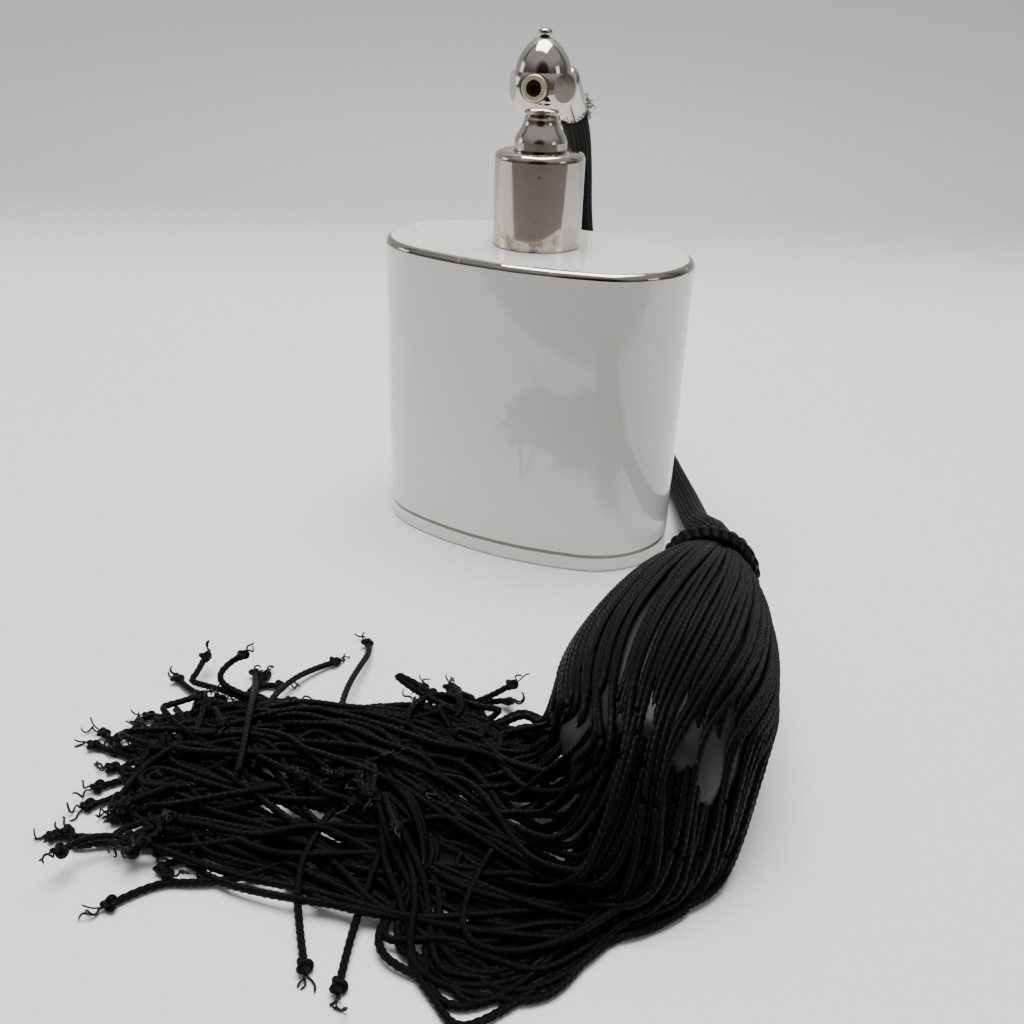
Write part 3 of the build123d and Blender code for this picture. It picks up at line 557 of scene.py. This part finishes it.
# ---- rubber bulb ------------------------------------------------------------------------------
# Dip-moulded rubber, drawn in to a neck at the hose and open in front for the intake valve.
bulb_turn = radians(7.3)
bulb_neck = np.array((61.2, -34.3, 19.6)) * MM
bulb_ahead = np.array((sin(bulb_turn), -cos(bulb_turn), 0.0))
bulb_side = np.array((cos(bulb_turn), sin(bulb_turn), 0.0))
bulb_up = np.array((0.0, 0.0, 1.0))
bulb_radius, bulb_widest, bulb_front = 19.4 * MM, 53.5 * MM, 81.5 * MM


def bulb_reach(place):
    """Radius over the cords: a taper to the neck behind the widest place, half an ellipse before it."""
    rear = 1 - np.clip((bulb_widest - place) / bulb_widest, 0, 1) ** 1.51
    nose = 1 - np.clip((place - bulb_widest) / (bulb_front - bulb_widest), 0, 1) ** 2
    return bulb_radius * np.sqrt(np.maximum(np.where(place < bulb_widest, rear, nose), 0))


def round_bulb(angle, reach, place):
    """Points at an angle about the bulb's axis, from its side upwards, a radius and a place along it."""
    return (bulb_neck + place[..., None] * bulb_ahead
            + reach[..., None] * (np.cos(angle)[..., None] * bulb_side + np.sin(angle)[..., None] * bulb_up))


def turned(name, reach, place, sides=96):
    """A closed profile of reach and place, turned about the bulb's axis."""
    angle = 2 * pi * np.arange(sides) / sides
    points = round_bulb(angle[None], np.repeat(reach[:, None], sides, 1), np.repeat(place[:, None], sides, 1))
    index = np.arange(len(reach) * sides).reshape(-1, sides)
    nexts = np.roll(index, -1, axis=0)
    quads = np.stack([index, nexts, np.roll(nexts, -1, axis=1), np.roll(index, -1, axis=1)], -1)
    return surface(name, points, quads.reshape(-1, 4))


rubber_places = np.linspace(9.0, 75.0, 60) * MM
cord_cover, rubber_wall, neck_opening, neck_outside, valve_reach = np.array((1.6, 1.8, 2.7, 5.2, 4.45)) * MM
rubber_outer = np.maximum(bulb_reach(rubber_places) - cord_cover, neck_outside)
rubber_inner = np.maximum(rubber_outer - rubber_wall, neck_opening)
rubber_reach = np.concatenate([[neck_opening, 5.0 * MM], rubber_outer, [valve_reach, valve_reach],
                               rubber_inner[-8::-1], [neck_opening]])
rubber_place = np.concatenate([[1.0 * MM, 1.2 * MM], rubber_places, [76.0 * MM, 68.0 * MM],
                               rubber_places[-8::-1], [8.0 * MM]])
rubber = turned("rubber_bulb_body", rubber_reach, rubber_place)
rubber.data.materials.append(bulb_rubber)
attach(rubber, "head")
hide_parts("rubber_bulb")
squeezed = [rubber]


# ---- bulb cover and tassel -----------------------------------------------------------------
# Cords are gathered at the neck, run forward over the rubber with a slight spiral, leave it
# one after another, and fall together to the left in a tangle of knotted ends.
def smooth_lines(controls, rings):
    """Uniform cubic B-splines, one per row of control points, from the first to the last point."""
    first = 2 * controls[:, :1] - controls[:, 1:2]
    last = 2 * controls[:, -1:] - controls[:, -2:-1]
    ends = np.concatenate([first, controls, last], axis=1)
    share = np.linspace(0, 1, 16, endpoint=False)[:, None]
    weights = np.stack([(1 - share) ** 3, 3 * share**3 - 6 * share**2 + 4,
                        -3 * share**3 + 3 * share**2 + 3 * share + 1, share**3]) / 6
    spans = sum(weights[step][None, None] * ends[:, step:ends.shape[1] - 3 + step, None] for step in range(4))
    fine = np.concatenate([spans.reshape(len(controls), -1, 3), controls[:, -1:]], axis=1)
    along = travelled(fine)
    lines = np.empty((len(fine), rings, 3))
    for row, length in enumerate(along[:, -1]):
        marks = np.linspace(0, length, rings)
        for axis in range(3):
            lines[row, :, axis] = np.interp(marks, along[row], fine[row, :, axis])
    return lines


def lay_twisted(name, lines, radius):
    """Three-ply cords: each ring's radius is radius * (1 + ply_height * cos 3a), turned once per pitch."""
    sides = 3 * cord_plies
    lobes = 1 + ply_height * np.cos(cord_plies * 2 * pi * np.arange(sides) / sides)
    radii = blunt(lines, radius, 1.2 * radius)[..., None] * lobes
    piece = tube_mesh(name, lines, radii, -2 * pi * travelled(lines) / cord_pitch)
    piece.data.materials.append(twisted_cord)
    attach(piece, "head")
    return piece


cord_radius, cord_count, cord_rings = 0.64 * MM, 118, 350
lowest_control, highest_control, lowest_cord = 0.9 * MM, 20 * MM, 0.8 * MM
start_angle = 2 * pi * (np.arange(cord_count) + rng.normal(0, 0.25, cord_count)) / cord_count
# A cord leaves the rubber early underneath and late on top; its place is along the bulb's axis.
leaving = (64.25 + 3 * np.cos(start_angle) + 11.5 * np.sin(start_angle) - 1.25 * np.cos(2 * start_angle)) * MM
leaving = np.minimum(leaving + rng.normal(0, 3.5, cord_count) * MM, 80 * MM)
share = np.linspace(0, 1, 12)[None]
cover_place = 2.0 * MM + share * (leaving[:, None] - 2.0 * MM)
cover_angle = start_angle[:, None] + 0.38 * cover_place / bulb_front
cover_angle = cover_angle + np.cumsum(rng.normal(0, 0.010, cover_angle.shape), axis=1)
crowding = rng.uniform(-0.2, 1.6, (cord_count, 1)) * MM * np.clip(1 - cover_place / (16 * MM), 0, 1)
cover_reach = bulb_reach(cover_place) - 0.55 * MM + crowding + rng.uniform(-0.1, 0.35, (cord_count, 1)) * MM
cover_points = round_bulb(cover_angle, cover_reach, cover_place)

# The falling cords pass six gates. A gate is a row of points across the tassel, one per lane,
# and each cord wanders a little from its own lane before it reaches the next gate.
lane_share = np.array([0, 0.25, 0.5, 0.75, 1])
gates = np.array([
    [(45.5, -87, 8), (54, -107, 12), (69, -122, 11), (79, -117, 7), (86, -104, 3)],
    [(39, -91, 5), (45, -106, 8), (57, -119, 7), (66, -124, 4), (75, -121, 1.5)],
    [(26, -92, 5), (31, -101, 8), (38, -113, 8), (45, -124, 6), (56, -131, 1.5)],
    [(11, -96, 4), (15, -104, 8), (18, -114, 9), (22, -124, 7), (33, -135, 3)],
    [(-1, -102, 3), (-1, -108, 6), (0, -116, 8), (2, -126, 6), (12, -138, 2)],
    [(-15, -108, 1.5), (-17, -113, 2.5), (-18, -120, 3), (-14, -128, 2.5), (-4, -137, 1.5)],
]) * MM
lane = (1 + np.cos(start_angle + 0.3)) / 2
wander = np.cumsum(rng.normal(0, 1, (cord_count, 6)) * np.array([0.02, 0.06, 0.13, 0.17, 0.2, 0.2]), axis=1)
lanes = np.clip(lane[:, None] + wander, 0, 1)
fall = np.stack([[np.interp(lanes[:, step], lane_share, gate[:, axis]) for axis in range(3)]
                 for step, gate in enumerate(gates)]).transpose(2, 0, 1)
fall[..., 2] *= 0.6 + 0.4 * np.sin(start_angle)[:, None] * np.array([1, 0.7, 0.5, 0.4, 0.3, 0.2])
spread = np.array([0.6, 1.2, 2.2, 3.0, 3.6, 4.6])[:, None] * np.array([0.9, 1.0, 0.5]) * MM
fall += rng.normal(0, 1, fall.shape) * spread
# Cords of the outer lane swing forward, a third of them as loops; the innermost curl up behind.
looping = lane > 0.82
fall[looping, 2, 1] -= rng.uniform(0, 8, looping.sum()) * MM
loops = np.flatnonzero(looping)[::3]
fall[loops, 2:] = np.array([(60, -141, 1.2), (47, -140, 1.6), (42, -127, 5), (25, -117, 8)]) * MM
fall[loops, 2:] += rng.normal(0, 1, (len(loops), 4, 3)) * np.array([3.4, 3.0, 0.5]) * MM
curled = np.argsort(lane)[:16]
fall[curled, 3:] = np.array([(31, -95, 4), (24, -90, 5), (28, -88, 2)]) * MM
fall[curled, 3:] += rng.normal(0, 1, (len(curled), 3, 3)) * np.array([6.0, 2.6, 1.6]) * MM
middles = (fall[:, :-1] + fall[:, 1:]) / 2
middles += rng.normal(0, 1, fall[:, 1:].shape) * np.array([1.7, 1.7, 1.1]) * MM
tail = fall[:, -1:] + np.cumsum(rng.normal(0, 1, (cord_count, 2, 3)) * np.array([3.4, 3.4, 1.0]) * MM, axis=1)
fall = np.concatenate([np.stack([fall[:, :-1], middles], axis=2).reshape(cord_count, -1, 3),
                       fall[:, -1:], tail], axis=1)
fall[..., 2] = np.clip(fall[..., 2], lowest_control, highest_control)
cord_lines = smooth_lines(np.concatenate([cover_points, fall], axis=1), cord_rings)
cord_lines[..., 2] = np.maximum(cord_lines[..., 2], lowest_cord)

cover_ring = 150
for part in range(2):
    cover_cords = lay_twisted(f"bulb_cover_cords_{part + 1}", cord_lines[part::2, :cover_ring + 1],
                              cord_radius)
    squeezed.append(cover_cords)
    if part == 0:
        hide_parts("bulb_cord_cover")
for part in range(3):
    tassel_cords = lay_twisted(f"tassel_cords_{part + 1}", cord_lines[part::3, cover_ring:], cord_radius)
    squeezed.append(tassel_cords)
    if part == 0:
        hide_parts("tassel_bundle")

knot_share = np.linspace(0, 2 * pi, 40)[None]
trefoil = np.stack([np.sin(knot_share) + 2 * np.sin(2 * knot_share),
                    np.cos(knot_share) - 2 * np.cos(2 * knot_share), -np.sin(3 * knot_share)], -1)


def knots(name, places, aims):
    """Overhand knots pulled tight: a trefoil line, scaled and turned to each cord's aim."""
    ahead_here = unit(aims)[:, None]
    flat_side = unit(np.cross(ahead_here, (0.3, 0.2, 1.0)))
    other = np.cross(ahead_here, flat_side)
    size = rng.uniform(0.30, 0.38, (len(places), 1, 1)) * MM
    lines = places[:, None] + size * (trefoil[..., :1] * ahead_here + trefoil[..., 1:2] * flat_side
                                      + trefoil[..., 2:] * other)
    lift = np.maximum(0.7 * MM - lines[..., 2].min(axis=1), 0)
    lines[..., 2] += lift[:, None]
    radii = np.full((len(places), lines.shape[1], 8), 0.5 * MM)
    piece = tube_mesh(name, lines, radii, np.zeros(lines.shape[:2]))
    piece.data.materials.append(twisted_cord)
    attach(piece, "head")
    return piece


tassel_ends = cord_lines[:, -1]
tassel_aims = unit(cord_lines[:, -1] - cord_lines[:, -6])
tassel_knots = knots("tassel_knots", tassel_ends, tassel_aims)
tassel_fray = fibres("tassel_fray", tassel_ends + tassel_aims * 0.8 * MM, tassel_aims, 2, 3.4 * MM,
                     0.2 * MM, 0.9 * MM)

# Plait of three cords round the neck, which holds the gathered cords down.
ring_reach, ring_place, ring_waves = 8.0 * MM, 4.0 * MM, 9
plait_share = np.linspace(0, 2 * pi * 1.002, 420)[None]
plait_phase = ring_waves * plait_share + 2 * pi * np.arange(3)[:, None] / 3
plait_lines = round_bulb(plait_share, ring_reach + 1.5 * MM * np.sin(plait_phase),
                         ring_place + 0.95 * MM * np.sin(2 * plait_phase))
plait = lay_twisted("neck_plait", plait_lines, 1.3 * MM)
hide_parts("neck_plait_ring")
squeezed += [tassel_knots, tassel_fray, plait]

# ---- single cords that lie clear of the tassel -------------------------------------------------
# Twelve knotted ends and two loops that fall back into the tangle.
strand_routes = [
    [(4, -122, 5), (-2, -114, 5), (-6.4, -105, 4), (-8.6, -96.5, 2.6), (-8, -89, 1.6), (-5.6, -83.5, 1)],
    [(13, -109, 6), (8, -101, 5), (4, -92.5, 4), (1.6, -84.5, 3), (0, -78, 2.4), (-3, -74.5, 1.2)],
    [(1, -113, 3.4), (-7, -109, 3), (-14.5, -106.6, 2.2), (-22, -107.2, 1.2), (-30.5, -104, 1)],
    [(4, -126, 7.2), (-1, -117.5, 7.4), (-6.6, -109.5, 6.6), (-11.6, -102, 4), (-17.5, -95, 1.2)],
    [(4.2, -120.6, 3.4), (-8, -115.5, 3), (-15, -112.6, 2.2), (-21, -114, 1.4), (-27, -116, 1)],
    [(4, -126, 4), (-6, -127, 4), (-14, -125.5, 3), (-20, -122, 1.8), (-26, -119.5, 1)],
    [(8, -129, 3), (-1, -132, 3), (-10, -131.2, 2.4), (-16, -128.6, 1.4), (-22, -130.5, 1)],
    [(20, -130, 5), (12, -136.5, 4), (3, -141, 2), (-5, -143, 1.2), (-11.5, -144.4, 1), (-18, -147.6, 0.9)],
    [(24, -131, 3), (18, -139.2, 1.6), (10.5, -144.4, 1), (4, -147.2, 0.9), (1.2, -154, 0.9)],
    [(22, -120.6, 5), (23, -132, 4.6), (25.6, -138.6, 2.6), (30, -144, 1.2), (35, -149.5, 1)],
    [(32, -120, 5), (34.6, -128, 5), (36.6, -136, 2.8), (38.4, -143, 1.2), (41.4, -150, 1)],
    [(12, -124, 6), (5, -130.4, 6), (-2.4, -135, 4.4), (-9, -136.4, 2), (-14, -133, 1)],
    [(72, -119, 5), (67.6, -130, 2), (63.5, -140.5, 1), (57, -146.4, 0.9), (50, -141.6, 1),
     (47.4, -131, 2.4), (46.4, -122, 5)],
    [(78, -113, 7), (71, -126.6, 4.6), (63, -134.4, 3), (54.6, -136.4, 3), (50.8, -130, 4), (51, -120, 6)],
]
loop_count = 2
for number, route in enumerate(strand_routes, start=1):
    line = route_points(route, 0.45 * MM)
    strand = lay_twisted(f"loose_cord_{number:02d}", line[None], cord_radius)
    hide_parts(f"tassel_strand_{number:02d}")
    if number <= len(strand_routes) - loop_count:
        aim = unit(line[-1] - line[-8])
        pieces = [knots(f"end_knot_{number:02d}", line[-1:], aim[None]),
                  fibres(f"end_fray_{number:02d}", (line[-1] + aim * 0.8 * MM)[None], aim[None], 3, 3.6 * MM,
                         0.2 * MM, 0.9 * MM)]

# ---- soft pieces: each gets a mesh of its own ----------------------------------------------------
for piece in squeezed:
    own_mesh(piece)

bpy.context.view_layer.update()
